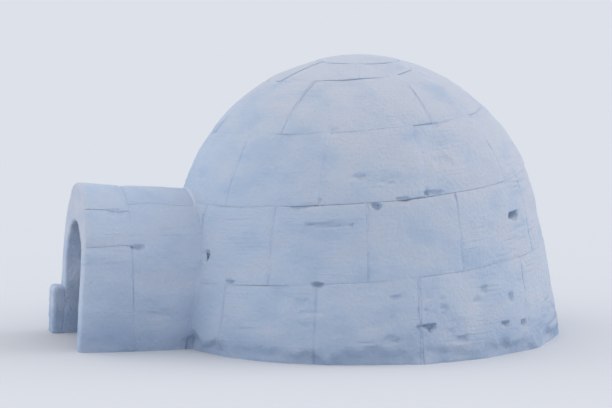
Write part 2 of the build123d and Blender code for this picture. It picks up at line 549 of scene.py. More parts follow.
def under_face(depth):
    """How far out and how high the section's point at this depth under the outer face lies."""
    return wall["Radius"] - depth * wall["Across"], wall["Height"] - depth * wall["Up"]


def on_wall(depth):
    """The wall's point under this one, this deep into the wall, before any wear."""
    out, rise = under_face(depth)
    return point(out * azimuth_cos, out * azimuth_sin, rise)


outer_point, inner_point = on_wall(0.0), on_wall(wall["Thickness"])
bed_gap = calc("MINIMUM", upward * course + given["On Ground"], end_up * course)
span = calc("RADIANS", given["End Angle"] - given["Start Angle"])
length = span * wall["Radius"]
head_gap = calc("MINIMUM", along, end_along) * length
is_block = calc("GREATER_THAN", span, 0.0)

# One long bed joint has lost its snow, on the side where the wall is seen best.
open_bed_from, open_bed_to, open_bed_fade = 636.0, 702.0, 8.0
open_reach, open_fade, open_patches = 0.02, 0.08, (6.0, 2.0, -0.30, 0.12)
bed_angle = angle - calc("LESS_THAN", upward, 0.5) * turn
opened = eased(bed_angle, open_bed_from, open_bed_from + open_bed_fade)
opened = opened * (1 - eased(bed_angle, open_bed_to - open_bed_fade, open_bed_to))
opened = opened * (1 - eased(bed_gap, open_reach, open_fade)) * patches(outer_point, *open_patches)
gaps = {"Bed Gap": bed_gap, "Head Gap": head_gap, "Lump": given["Lump"]}
outer_values = {"Point": outer_point, "Opened": opened, "Most Wear": given["Most Wear"], **gaps}
outer_face = use_group(weathered_face, outer_values)
inner_face = use_group(weathered_face, {"Point": inner_point, **gaps})

# No two blocks lie quite flush: each face leans a little its own way and is a little flat.
askew = drawn(given["Block Number"], 1) * (along - 0.5)
askew = askew + drawn(given["Block Number"], 2) * (upward - 0.5)
stagger = askew * (given["Stagger"] * 2.0)
belly = along * end_along * 4.0
flat = belly * given["Flatness"] * is_block


def lost_snow(height, scour_from, scour_to, scour_patches):
    """How deep the wind has scoured the foot just above the ground, and how deep a chip is."""
    scoured = (1 - eased(height, scour_from, scour_to)) * patches(outer_point, *scour_patches)
    chips = use_group(chipped_snow, {"Point": outer_point, "Chips": given["Chips"]})
    return scoured * given["Undercut"], chips["Depth"]


scour_noise, scour_rise, scour_shape = (6.0, 3.0), 0.26, (0.02, 0.11, (2.2, 4.0, -0.16, 0.14))
ragged_height = rough(outer_point, *scour_noise) * scour_rise + wall["Height"]
undercut, chip_depth = lost_snow(ragged_height, *scour_shape)
crumb_noise = (42.0, 2.0)
crumbs = rough(outer_point, *crumb_noise) * given["Crumbs"]
outer_inset = outer_face["Inset"] + stagger + flat + undercut + chip_depth + crumbs
depth = between(inward, outer_inset, wall["Thickness"] - inner_face["Inset"])
out, rise = under_face(depth)
rise = between(given["On Ground"], rise, calc("MAXIMUM", rise, 0.0))


cut_joints, cut_height = 0.37, 2.6
gap_joints, gap_height, gap_apart = 0.23, 4.0, 5.0
gap_change = 1.3
least_out = 0.01


def end_shift(joint, side):
    """How far this end lies from its joint's angle: cut by hand, it wanders, and so does the gap."""
    cut_at = point(joint * cut_joints, wall["Height"] * cut_height, 0.0)
    gap_at = point(joint * gap_joints, wall["Height"] * gap_height, gap_apart)
    wander = rough(cut_at, 1.0, 2.0) * given["Wander"]
    gap = rough(gap_at, 1.0) * gap_change + 1.0
    return (wander + given["Half Joint"] * gap * side) / calc("MAXIMUM", out, least_out)


shift = between(along, end_shift(given["Start Angle"], 1.0), end_shift(given["End Angle"], -1.0))
final_cos, final_sin = cos_sin(azimuth + shift)
seat = point(out * final_cos, out * final_sin, rise)
next_face = 1.37
number = given["Block Number"] * next_face
face_map = point(along * length + number, upward * course + number, number)
# Painted shade in the chips: the deeper the chip, the more its colour is drawn from the lighter tone
# toward the darker, bluer packed colour.
pit_shade_to_depth, most_pit_shade = -12.0, -0.5
pit_shade = calc("MAXIMUM", chip_depth * pit_shade_to_depth, most_pit_shade)
end_of_tree(cube, seat, face_map, pit_shade, given, result)


def in_scene(name, data):
    """A new object that holds this data."""
    made = bpy.data.objects.new(name, data)
    bpy.context.collection.objects.link(made)
    return made


def baked(shape):
    """The plain mesh that the object's modifiers make. They are then dropped."""
    evaluated = shape.evaluated_get(bpy.context.evaluated_depsgraph_get())
    mesh = bpy.data.meshes.new_from_object(evaluated)
    shape.modifiers.clear()
    return mesh


def finish_smooth(mesh, material):
    """Gives every face of the mesh this material and smooth shading."""
    mesh.materials.clear()
    mesh.materials.append(material)
    mesh.polygons.foreach_set("material_index", [0] * len(mesh.polygons))
    mesh.polygons.foreach_set("use_smooth", [True] * len(mesh.polygons))


def made_by(tree, values, cutter=None):
    """The plain mesh that this tree makes with these inputs, less what the cutter takes out."""
    maker = in_scene("maker", bpy.data.meshes.new("maker"))
    shape = maker.modifiers.new("shape", "NODES")
    shape.node_group = tree
    for item in tree.interface.items_tree:
        if item.in_out == "INPUT" and item.name in values:
            shape[item.identifier] = values[item.name]
    if cutter is not None:
        opening = maker.modifiers.new("opening", "BOOLEAN")
        opening.operation = "DIFFERENCE"
        opening.solver = "EXACT"
        opening.object = cutter
    mesh = baked(maker)
    bpy.data.objects.remove(maker)
    if cutter is not None:
        finish_smooth(mesh, values["Material"])
        mesh.set_sharp_from_angle(angle=crisp_angle)
    return mesh


def joined(name, meshes):
    """One object from several plain meshes, each left as its own closed shell."""
    shells = [in_scene(name, mesh) for mesh in meshes]
    first = shells[0]
    if len(shells) > 1:
        with bpy.context.temp_override(
            active_object=first, object=first, selected_objects=shells, selected_editable_objects=shells
        ):
            bpy.ops.object.join()
    return first


def put_in_place(piece, slot, *nodes):
    """The piece stands for these nodes and rides with the igloo."""
    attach(piece, "root")
    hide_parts(*nodes)


# Shared effect: snow's own relief, from packed grains up to the soft crust that wind leaves,
# and the broad mottle of denser and looser snow.
snow_relief, given, result = new_tree(
    "snow relief",
    {"Point": origin, "Grains": 420.0, "Crust": 44.0, "Grain Height": 0.5, "Crust Height": 1.6},
    {"Height": float, "Mottle": float},
    "ShaderNodeTree",
)
grain_detail, crust_detail = 2.0, 4.0
mottle_stretch, mottle_noise = (0.8, 0.8, 1.5), (4.2, 5.0)
fine = rough(given["Point"], given["Grains"], grain_detail) * given["Grain Height"]
crust = rough(given["Point"], given["Crust"], crust_detail) * given["Crust Height"]
mottle = rough(vector_calc("MULTIPLY", given["Point"], mottle_stretch), *mottle_noise)
give(result, {"Height": fine + crust, "Mottle": mottle})


mix_sockets = {"RGBA": (6, 2), "VECTOR": (4, 1)}


def part_way(share, one, other, kind="VECTOR"):
    """What lies this share of the way from one vector or colour to the other."""
    mixed = place("ShaderNodeMix", share, data_type=kind)
    first, output = mix_sockets[kind]
    give(mixed.inputs, {first: one, first + 1: other})
    return Flow(mixed.outputs[output])


# Shared effect: painted light and painted shade in the snow's colour. Faces turned up and toward the key
# light are painted a lighter tone, the wall is painted a darker blue low down near the ground, and random
# patches of dense snow take that blue too.
snow_colour, given, result = new_tree(
    "snow colour",
    {
        "Point": origin,
        "Lie": 0.0,
        "Rim Light Pit Shade": 0.0,
        "Painted Light": 1.0,
        "Mottle": 0.0,
        "Packed": (0.440, 0.546, 0.712, 1.0),
        "Lit Colour": (0.520, 0.566, 0.674, 1.0),
        "Foot": (0.29, 0.385, 0.56, 1.0),
    },
    {"Colour": tuple},
    "ShaderNodeTree",
)
lie_from, lie_to, mottle_in_lit_tone, least_lit = -0.15, 1.05, -1.9, 0.06
foot_from, foot_to, mottled_foot, foot_strength = -0.05, 0.42, 2.0, 0.55
dense_from, dense_strength = 0.30, 0.32
# Painted light: the share of the lighter tone grows as the face turns toward the painted light's
# direction. It shifts with the random mottle and takes in the painted rim light and chip shade.
lit_and_mottle = eased(given["Lie"], lie_from, lie_to) * given["Painted Light"]
lit_and_mottle = lit_and_mottle + (given["Mottle"] * mottle_in_lit_tone + least_lit) + given["Rim Light Pit Shade"]
lit_tone = part_way(lit_and_mottle, given["Packed"], given["Lit Colour"], "RGBA")
level = parts(given["Point"])["Z"]
# Painted shade: near the ground the colour is drawn toward the darker Foot blue, with a ragged edge from
# the mottle. The dense patches of the mottle, a real tone, take the same blue.
low = given["Mottle"] * mottled_foot + (1 - eased(level, foot_from, foot_to))
dense = eased(given["Mottle"], 0.0, dense_from) * dense_strength
shade_and_density = calc("MAXIMUM", low * foot_strength, dense)
give(result, {"Colour": part_way(shade_and_density, lit_tone, given["Foot"], "RGBA")})

# Shared effect: the fine parallel marks that the snow saw leaves along a block's face.
saw_inputs = {"Face": origin, "Marks": 55.0, "Depth": 1.6}
saw_marks, given, result = new_tree("saw marks", saw_inputs, {"Height": float}, "ShaderNodeTree")
mark_stretch, sawn_patches = (0.05, 1.0, 1.0), (4.0, 1.0, -0.02, 0.12)
strokes = rough(vector_calc("MULTIPLY", given["Face"], mark_stretch), given["Marks"], 2.0)
give(result, {"Height": strokes * patches(given["Face"], *sawn_patches) * given["Depth"]})


def shader_of(material):
    """The material's own shader."""
    material.use_nodes = True
    return next(n for n in material.node_tree.nodes if n.type == "BSDF_PRINCIPLED")


def snow_material(name, bump, colours, relief, marks):
    """A matt snow finish from the shared effects, with its own values."""
    material = bpy.data.materials.new(name)
    shader = shader_of(material)
    tree = material.node_tree
    where = flow("ShaderNodeTexCoord", tree=tree, output="Object")
    face, lie, rim_light_pit_shade = (
        flow("ShaderNodeAttribute", tree=tree, attribute_name=title, output=output)
        for title, output in (("block_face", "Vector"), ("lie", "Fac"), ("rim_light_pit_shade", "Fac"))
    )
    surface = use_group(snow_relief, {"Point": where, **relief})
    tint = {"Point": where, "Lie": lie, "Rim Light Pit Shade": rim_light_pit_shade, "Mottle": surface["Mottle"], **colours}
    scratches = use_group(saw_marks, {"Face": face, **marks})
    raised = place("ShaderNodeBump", tree=tree)
    height = surface["Height"] + scratches["Height"]
    give(raised.inputs, {"Strength": 1.0, "Distance": bump, "Height": height})
    finish = {
        "Base Color": use_group(snow_colour, tint)["Colour"],
        "Normal": Flow(raised.outputs[0]),
        "Roughness": 0.92,
        "Specular IOR Level": 0.25,
        "Subsurface Weight": 0.15,
        "Subsurface Radius": (0.6, 0.8, 1.0),
        "Subsurface Scale": 0.006,
    }
    give(shader.inputs, finish)
    return material


block_bump = 0.0065
block_snow = snow_material("wind-packed block snow", block_bump, {}, {}, {})

# The chips and lost plugs of snow on the wall: azimuth seen from the igloo's best side and
# height of each, then its half width, half height and depth.
best_side = -12.0
wall_chips = (
    (57.5, 0.850, 0.066, 0.028, 0.075),
    (4.6, 0.970, 0.046, 0.019, 0.032),
    (-20.5, 0.948, 0.085, 0.013, 0.014),
    (13.9, 1.005, 0.055, 0.014, 0.018),
    (23.8, 1.035, 0.065, 0.018, 0.020),
    (30.1, 1.220, 0.080, 0.050, 0.010),
    (-0.6, 1.145, 0.055, 0.018, 0.014),
    (-11.8, 1.400, 0.035, 0.045, 0.009),
    (-11.5, 0.850, 0.220, 0.016, 0.015),
    (-12.8, 0.492, 0.048, 0.016, 0.028),
    (-41.6, 0.466, 0.036, 0.015, 0.022),
    (-53.5, 0.608, 0.038, 0.028, 0.034),
    (-16.9, 0.377, 0.065, 0.040, 0.010),
    (9.7, 0.414, 0.055, 0.016, 0.013),
    (19.0, 0.232, 0.060, 0.023, 0.040),
    (23.6, 0.337, 0.045, 0.018, 0.014),
    (35.5, 0.364, 0.045, 0.016, 0.012),
    (45.5, 0.200, 0.034, 0.018, 0.028),
    (54.0, 0.182, 0.040, 0.018, 0.030),
    (38.6, 0.428, 0.040, 0.022, 0.016),
    (49.6, 0.362, 0.036, 0.030, 0.020),
    (8.5, 0.160, 0.100, 0.020, 0.016),
    (29.0, 0.140, 0.085, 0.022, 0.018),
    (148.0, 0.980, 0.045, 0.018, 0.030),
    (205.0, 0.450, 0.050, 0.016, 0.028),
    (236.0, 1.120, 0.036, 0.015, 0.024),
)
chip_places, chip_sizes = [], []
for chip_azimuth, height, *sizes in wall_chips:
    chip_azimuth = radians(best_side + chip_azimuth)
    chip_radius = radius_at(height)
    chip_places.append((chip_radius * cos(chip_azimuth), chip_radius * sin(chip_azimuth), height))
    chip_sizes.append(sizes)

# The chips on the entrance's vault: the middle of each, then the same three sizes.
vault_chips = (
    ((0.480, -1.532, 0.662), (0.046, 0.017, 0.026)),
    ((0.330, -1.660, 0.868), (0.080, 0.026, 0.010)),
)
for middle, sizes in vault_chips:
    chip_places.append(middle)
    chip_sizes.append(sizes)
chip_points = bpy.data.meshes.new("chips")
chip_points.from_pydata(chip_places, [], [])
chip_layer = chip_points.attributes.new("chip", "FLOAT_VECTOR", "POINT")
for layer, sizes in zip(chip_layer.data, chip_sizes):
    layer.vector = sizes
chips_object = in_scene("chips", chip_points)


def mesh_from(name, form):
    """A plain mesh from a form that is then freed."""
    mesh = bpy.data.meshes.new(name)
    form.to_mesh(mesh)
    form.free()
    return mesh


# The passage, as the form that its doorway is cut with. It is a little ragged, and it opens
# out where it reaches the room, where hands and shoulders have worn the edge round.
arch_radius = passage_width / 2
springing = passage_height - arch_radius
passage_from, passage_to, passage_rings = 1.60, 0.85, 60
flare_start, flare, flare_power = 1.06, 0.035, 1.5
jamb_steps, arch_steps = 14, 36
below_ground = 0.05
raggedness, rags_to_metre = 0.004, 9.0
profile = [
    (arch_radius, springing * rung / jamb_steps - below_ground * (rung == 0)) for rung in range(jamb_steps)
]
jamb = list(profile)
for part in range(arch_steps + 1):
    bearing = pi * part / arch_steps
    profile.append((arch_radius * cos(bearing), springing + arch_radius * sin(bearing)))
profile += [(-x, z) for x, z in reversed(jamb)]
cutter_form = bmesh.new()
cutter_rings = []
for step in range(passage_rings + 1):
    reach = passage_from + (passage_to - passage_from) * step / passage_rings
    grow = flare * max(0.0, (flare_start - reach) / (flare_start - passage_to)) ** flare_power
    ring = []
    for x, z in profile:
        ragged = raggedness * noise.noise(Vector((x, -reach, z)) * rags_to_metre) + grow
        side = Vector((x, 0, max(0.0, z - springing)))
        side.normalize()
        ring.append(cutter_form.verts.new((x + side.x * ragged, -reach, z + side.z * ragged)))
    cutter_rings.append(ring)
for ring, following in zip(cutter_rings, cutter_rings[1:]):
    for index in range(len(ring)):
        after = (index + 1) % len(ring)
        cutter_form.faces.new((ring[index], ring[after], following[after], following[index]))
cutter_form.faces.new(list(reversed(cutter_rings[0])))
cutter_form.faces.new(cutter_rings[-1])
bmesh.ops.recalc_face_normals(cutter_form, faces=cutter_form.faces)
passage_form = in_scene("passage", mesh_from("passage", cutter_form))

turn_names = ["ramp_ring", "second_ring", "third_ring", "fourth_ring", "closing_ring"]
quarters = ("front_right", "back_right", "back_left", "front_left")


def side_of(start, end):
    """Which quarter of the dome the middle of a block stands in, facing the entrance."""
    past_door = (spiral_start + (start + end) / 2 - door_azimuth) % turn
    return quarters[int(past_door // (turn // len(quarters)))]


def spiral_values(number, start, end, grounded, grid, material):
    """What the spiral's tree needs for a block, or for a strip where the end is the start."""
    middle = (start + end) / 2
    under_key = start >= last_turn
    low = 0 if grounded else bed_distance(middle - turn)
    high = key_distance if under_key else bed_distance(middle)
    breadth = radians(end - start) * face_radius((low + high) / 2)
    return {
        "Start Angle": float(start),
        "End Angle": float(end),
        "On Ground": float(grounded),
        "Under Key": float(under_key),
        "Block Number": number,
        "Columns": max(least_rows, round(breadth / grid)),
        "Rows": max(least_rows, round((high - low) / grid)),
        "Chips": chips_object,
        "Material": material,
    }


joints = head_joints()
wall_nodes = {}
for number, (start, end) in enumerate(zip(joints, joints[1:])):
    over_doorway = start < turn + door_angle < end
    node = "doorway_lintel" if over_doorway else turn_names[start // turn] + "_" + side_of(start, end)
    off_door = abs((start + end) / 2 - door_angle)
    by_doorway = start < turn and off_door < (end - start) / 2 + door_half_angle
    values = spiral_values(number, start, end, start < turn, face_grid, block_snow)
    cutter = passage_form if over_doorway or by_doorway else None
    wall_nodes.setdefault(node, []).append(made_by(block_tree, values, cutter))
for node, meshes in wall_nodes.items():
    put_in_place(joined(node + "_worn", meshes), "snow_block", node)

# Chinking: loose snow rammed by hand into the upright joints. It has frozen a little below the blocks'
# faces and is coarser than they are, one strip for each joint.
# Its own colour is a little darker than theirs; the lighter tone painted on its faces turned up, which is
# painted light, is a little whiter.
chinking_bump = 0.003
chinking_snow = snow_material(
    "rammed chinking snow",
    chinking_bump,
    {
        "Packed": (0.38, 0.475, 0.645, 1.0),
        "Lit Colour": (0.53, 0.595, 0.73, 1.0),
        "Foot": (0.28, 0.37, 0.545, 1.0),
    },
    {"Grains": 260.0, "Crust": 90.0, "Grain Height": 0.8, "Crust Height": 1.5},
    {"Marks": 40.0, "Depth": 0.0},
)
strip_overlap = 0.001
strip_grid = 0.008
strip_values = {"Half Joint": -joint_width / 2 - strip_overlap, "Columns": 4, "Crumbs": 0.009}
filling_nodes = {}
for number, joint in enumerate(joints[1:-1]):
    if joint < turn and abs(joint - door_angle) < door_half_angle:
        continue
    grounded = joint <= turn
    values = spiral_values(number, joint, joint, grounded, strip_grid, chinking_snow)
    node = turn_names[0 if grounded else joint // turn] + "_chinking"
    filling_nodes.setdefault(node, []).append(made_by(block_tree, {**values, **strip_values}))
for node, meshes in filling_nodes.items():
    put_in_place(joined(node + "_rammed", meshes), "chinking_snow", node)

# King block: the last block, cut to a taper and let down from above into the hole that the
# spiral leaves. Its own weight wedges it.
king_tree, given, result = new_tree(
    "king block",
    {
        "Key Distance": key_distance,
        "Top Distance": top_distance,
        "Grid": 46,
        "Layers": depth_layers,
        "Material": bpy.types.Material,
        **wall_sizes,
    },
    {"Geometry": None},
)
cap_crowding, least_share = 0.6, 0.0001
cube, spot = grid_cube((2.0, 2.0, 1.0), given["Grid"], given["Grid"], given["Layers"])
square_x, square_y, upward = spot


def to_disc(one, other):
    """One coordinate of the square's point, drawn in so that the square becomes a disc."""
    return one * calc("SQRT", 1 - other * other * 0.5)


disc_x, disc_y = to_disc(square_x, square_y), to_disc(square_y, square_x)
share = calc("MAXIMUM", vector_calc("LENGTH", point(disc_x, disc_y, 0.0)), least_share)
cap_distance = between(share, given["Top Distance"], given["Key Distance"])
wall = use_group(wall_section, {"Distance": cap_distance, **those(given, wall_sizes)})
toward_x, toward_y = disc_x / share, disc_y / share


def on_cap(depth):
    """The cap's point at this depth below its outer face."""
    out, rise = under_face(depth)
    return point(toward_x * out, toward_y * out, rise)


rim_gap = (1 - share) * (given["Top Distance"] - given["Key Distance"])
top_face = use_group(weathered_face, {"Point": on_cap(0.0), "Bed Gap": rim_gap})
low_face = use_group(weathered_face, {"Point": on_cap(wall["Thickness"]), "Bed Gap": rim_gap})
inward = between(cap_crowding, 0.5 - upward, eased(upward * -1.0, -0.5, 0.5))
depth = between(inward, top_face["Inset"], wall["Thickness"] - low_face["Inset"])
end_of_tree(cube, on_cap(depth), on_cap(0.0), 0.0, given, result)
king = joined("king_block_worn", [made_by(king_tree, {"Material": block_snow})])
put_in_place(king, "snow_block", "king_block")

# Entrance vault: two short rings of blocks that lean on each other over the passage, with
# jambs on the ground, haunches and a crown. The rear ring is cut to the dome's curve, and
# the mouth's edges are the most worn of all.
# The entrance snow gets only a little painted light on its upward faces, and a darker painted shade near
# the ground.
entrance_colours = {"Packed": (0.462, 0.558, 0.722, 1.0), "Painted Light": 0.1, "Foot": (0.245, 0.345, 0.535, 1.0)}
entrance_snow = snow_material("entrance block snow", block_bump, entrance_colours, {}, {})
mouth_distance = 1.900
ring_joint_distance = 1.550
meeting_distance = 1.150
outer_to_inner = 1.5
arch_sizes = {
    "Arch Radius": arch_radius,
    "Springing": springing,
    "Half Width": 0.480,
    "Mouth Crown": 1.015,
    "Mouth Distance": mouth_distance,
    "Fall": tan(radians(4.4)),
}
dome_sizes = {
    "Foot Radius": foot_radius,
    "Wall Lean": lean,
    "Wall Shoulder": wall_shoulder,
    "Centre Height": centre_height,
    "Dome Radius": dome_radius,
}

# The vault's arched section: rays from the arch's centre line, and the outer face on each.
vault_section, given, result = new_tree(
    "vault section",
    {"Profile": 0.0, "Distance": 0.0, **arch_sizes},
    dict.fromkeys(("Ray Across", "Ray Up", "Ray Height", "Outer Ray"), float),
)
arch_length = given["Arch Radius"] * pi
over_end = calc("MAXIMUM", given["Profile"] - arch_length, 0.0)
below = calc("MINIMUM", given["Profile"], 0.0) - over_end
ray_height = given["Springing"] + below
round_arch = calc("MINIMUM", calc("MAXIMUM", given["Profile"], 0.0), arch_length)
ray_cos, ray_sin = cos_sin(round_arch / given["Arch Radius"])
crown = given["Mouth Crown"] - (given["Mouth Distance"] - given["Distance"]) * given["Fall"]
arc_centre = crown - given["Half Width"]
off_centre = ray_height - arc_centre
arc_ray = leg(given["Half Width"], off_centre * ray_cos) - off_centre * ray_sin
on_arc = calc("GREATER_THAN", arc_ray * ray_sin + ray_height, arc_centre)
least_cos = 0.05
side_ray = given["Half Width"] / calc("MAXIMUM", calc("ABSOLUTE", ray_cos), least_cos)
outer_ray = between(on_arc, side_ray, arc_ray)
rays = {"Ray Across": ray_cos, "Ray Up": ray_sin, "Ray Height": ray_height, "Outer Ray": outer_ray}
give(result, rays)

# Where the dome's outside stands, this far to the side and this high up.
front_inputs = {"Aside": 0.0, "Height": 0.0, **dome_sizes}
dome_front, given, result = new_tree("dome front", front_inputs, {"Distance": float})
cone_radius = given["Foot Radius"] - given["Height"] * calc("TANGENT", given["Wall Lean"])
ball_radius = leg(given["Dome Radius"], given["Height"] - given["Centre Height"])
on_cone = calc("LESS_THAN", given["Height"], given["Wall Shoulder"])
give(result, {"Distance": leg(between(on_cone, ball_radius, cone_radius), given["Aside"])})

# One block of the vault, between two joints of its arch and two distances from the dome.
vault_tree, given, result = new_tree(
    "vault block",
    {
        "Profile Start": 0.0,
        "Profile End": 0.3,
        "Foot At Start": 0.0,
        "Foot At End": 0.0,
        "Front": mouth_distance,
        "Back": ring_joint_distance,
        "Meets Dome": 0.0,
        "Is Mouth": 0.0,
        "Wander": 0.030,
        "Bite": 0.012,
        "Foot Bite": 0.040,
        "Undercut": 0.020,
        "Flare": 0.030,
        "Mouth Round": 0.018,
        "Mouth Slope": tan(radians(4.0)),
        **block_inputs,
        "Layers": 16,
        **arch_sizes,
        **dome_sizes,
    },
    {"Geometry": None},
)
cube, along, inward, forward = block_grid(given)
is_mouth, meets_dome = given["Is Mouth"], given["Meets Dome"]


strays_to_metre = 3.0


def strayed(joint, along_it, held):
    """A joint of the vault, cut by hand so that it strays a little, unless it is held."""
    spot_on_it = point(joint * strays_to_metre, along_it * strays_to_metre, 0.0)
    stray = rough(spot_on_it, 1.0, 2.0) * given["Wander"]
    return stray * (1 - held) + joint


straight = between(forward, given["Back"], given["Front"])
first_joint = strayed(given["Profile Start"], straight, given["Foot At Start"])
last_joint = strayed(given["Profile End"], straight, given["Foot At End"])
profile = between(along, first_joint, last_joint)
back_joint = strayed(given["Back"], profile, meets_dome)
nominal = between(forward, back_joint, strayed(given["Front"], profile, is_mouth))
arch = use_group(vault_section, {"Profile": profile, "Distance": nominal, **those(given, arch_sizes)})


def ray_spot(reach):
    """How far aside and how high the point this far along the ray lies."""
    return reach * arch["Ray Across"], reach * arch["Ray Up"] + arch["Ray Height"]


def on_ray(reach, distance):
    """The point this far along the ray, at this distance from the dome's axis."""
    aside, rise = ray_spot(reach)
    return point(aside, distance * -1.0, rise)


def dome_beside(reach):
    """How far from its axis the dome's outside stands, beside the ray's point."""
    aside, rise = ray_spot(reach)
    return use_group(dome_front, {"Aside": aside, "Height": rise, **those(given, dome_sizes)})["Distance"]


profile_span = given["Profile End"] - given["Profile Start"]
start_gap = along * profile_span + given["Foot At Start"]
end_gap = (1 - along) * profile_span + given["Foot At End"]
ring_span = given["Front"] - given["Back"]
front_gap = (1 - forward) * ring_span
back_gap = forward * ring_span + meets_dome
gaps = {"Bed Gap": calc("MINIMUM", start_gap, end_gap), "Head Gap": calc("MINIMUM", front_gap, back_gap)}
outer_point, inner_point = on_ray(arch["Outer Ray"], nominal), on_ray(given["Arch Radius"], nominal)
soft_joint = {"Swell": 0.008, "Most Wear": 0.006, "Shoulder Depth": 0.010}
outer_face = use_group(weathered_face, {"Point": outer_point, **soft_joint, **gaps})
inner_face = use_group(weathered_face, {"Point": inner_point, "Swell": 0.004, **gaps})
mouth_round = round_edge(given["Mouth Round"], front_gap) * is_mouth
stagger = drawn(given["Block Number"], 0) * (along - 0.5) * (given["Stagger"] * 2.0)
scour_shape = (0.02, 0.13, (2.6, 4.0, -0.20, 0.14))
undercut, chip_depth = lost_snow(arch["Ray Height"], *scour_shape)
outer_inset = outer_face["Inset"] + mouth_round + stagger + undercut + chip_depth

# The jambs' front edges flare, but not where the foot block stands against the left one.
flare_reach, foot_block_top, clear_of_it = 0.16, 0.28, 0.44
flared = (1 - eased(front_gap, 0.0, flare_reach)) * is_mouth * (1 - arch["Ray Up"])
on_left = calc("LESS_THAN", arch["Ray Across"], 0.0)
by_foot_block = 1 - eased(arch["Ray Height"], foot_block_top, clear_of_it)
flared = flared * (1 - on_left * by_foot_block)
inner_inset = flared * given["Flare"] + (inner_face["Inset"] + mouth_round)
reach = between(inward, arch["Outer Ray"] - outer_inset, given["Arch Radius"] + inner_inset)
reach_height = ray_spot(reach)[1]

# The rear ring bites into the dome's wall, deepest at the foot, which the wind has scoured.
deep_bite_to, bite_fade = 0.12, 0.28
by_foot = 1 - eased(reach_height, deep_bite_to, bite_fade)
bite = by_foot * given["Foot Bite"] + given["Bite"]
back = between(meets_dome, given["Back"], dome_beside(reach) - bite)
front_noise, front_waves, front_back = (4.0, 2.0), 0.016, 0.002
wavy = rough(on_ray(reach, 0.0), *front_noise) * front_waves + front_back
front = given["Front"] - (reach_height * given["Mouth Slope"] + wavy) * is_mouth
distance = between(forward, back, front)
next_face = 2.11
number = given["Block Number"] * next_face
face_map = point(nominal + number, profile * outer_to_inner + number, number)
# Painted light on the mouth: a lighter band along the front ring's front edge, from a quarter of a metre
# above the ground upward.
rim_width, rim_low, rim_high, rim_painted_light = 0.05, 0.25, 0.90, 0.9
rim = (1 - eased(front_gap, 0.0, rim_width)) * is_mouth * eased(reach_height, rim_low, rim_high)
end_of_tree(cube, on_ray(reach, distance), face_map, rim * rim_painted_light, given, result)

rings = (
    ("front", mouth_distance, ring_joint_distance, (24.0, 52.0)),
    ("rear", ring_joint_distance, meeting_distance, (31.0, 59.0)),
)
full_arch = arch_radius * pi
spare_rows = 4
number = 0
for ring, ring_front, ring_back, joint_angles in rings:
    low, high = (arch_radius * radians(angle) for angle in joint_angles)
    stretches = {
        "right_jamb": (-springing, low),
        "right_haunch": (low, high),
        "crown_block": (high, full_arch - high),
        "left_haunch": (full_arch - high, full_arch - low),
        "left_jamb": (full_arch - low, full_arch + springing),
    }
    for stretch_name, (first, last) in stretches.items():
        number += 1
        values = {
            "Profile Start": first,
            "Profile End": last,
            "Foot At Start": float(stretch_name == "right_jamb"),
            "Foot At End": float(stretch_name == "left_jamb"),
            "Front": ring_front,
            "Back": ring_back,
            "Meets Dome": float(ring == "rear"),
            "Is Mouth": float(ring == "front"),
            "Columns": max(8, round((last - first) * outer_to_inner / face_grid)),
            "Rows": round((ring_front - ring_back) / face_grid) + spare_rows,
            "Block Number": number,
            "Chips": chips_object,
            "Material": entrance_snow,
        }
        node = "entrance_" + ring + "_" + stretch_name
        put_in_place(joined(node + "_worn", [made_by(vault_tree, values)]), "snow_block", node)

# Packed seam: loose snow pressed by hand into the corner where the vault meets the dome. It
# is a hollow fillet of uneven width, and it has frozen to both.
seam_tree, given, result = new_tree(
    "packed seam",
    {
        "Columns": 260,
        "Across": 9,
        "Least Width": 0.008,
        "Most Width": 0.055,
        "Meeting": meeting_distance,
        "Material": bpy.types.Material,
        **arch_sizes,
        **dome_sizes,
    },
    {"Geometry": None},
)
cube, spot = grid_cube((1.0, 1.0, 1.0), given["Columns"], given["Across"], 2)
along, across, outward = (axis + 0.5 for axis in spot)
arch_end = given["Arch Radius"] * pi + given["Springing"]
profile = between(along, given["Springing"] * -1.0, arch_end)
arch_values = {"Profile": profile, "Distance": given["Meeting"], **those(given, arch_sizes)}
arch = use_group(vault_section, arch_values)


def on_corner(further, forward, inward):
    """A point by the corner: this far outside the vault, in front of the dome and inside both."""
    reach = arch["Outer Ray"] + further - inward
    return on_ray(reach, dome_beside(reach) + forward - inward)


edge_depth, core_depth, least_outward = 0.006, 0.02, 0.15
wide_patches, seam_from, seam_to = (3.5, 3.0, -0.16, 0.2), 0.04, 0.30
crumb_noise, crumb_size = (30.0, 2.0), 0.004
corner, core = on_corner(0.0, 0.0, 0.0), on_corner(0.0, 0.0, core_depth)
width = between(patches(corner, *wide_patches), given["Least Width"], given["Most Width"])
width = width * eased(arch["Ray Height"], seam_from, seam_to)
on_dome, on_vault = on_corner(width, 0.0, edge_depth), on_corner(0.0, width, edge_depth)
hollow = part_way(across, part_way(across, on_dome, corner), part_way(across, corner, on_vault))
crumbs = rough(corner, *crumb_noise) * crumb_size
swollen = part_way(outward * (1 - least_outward) + least_outward + crumbs, core, hollow)
end_of_tree(cube, swollen, corner, 0.0, given, result)
packed_seam = joined("packed_seam", [made_by(seam_tree, {"Material": chinking_snow})])
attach(packed_seam, "root")

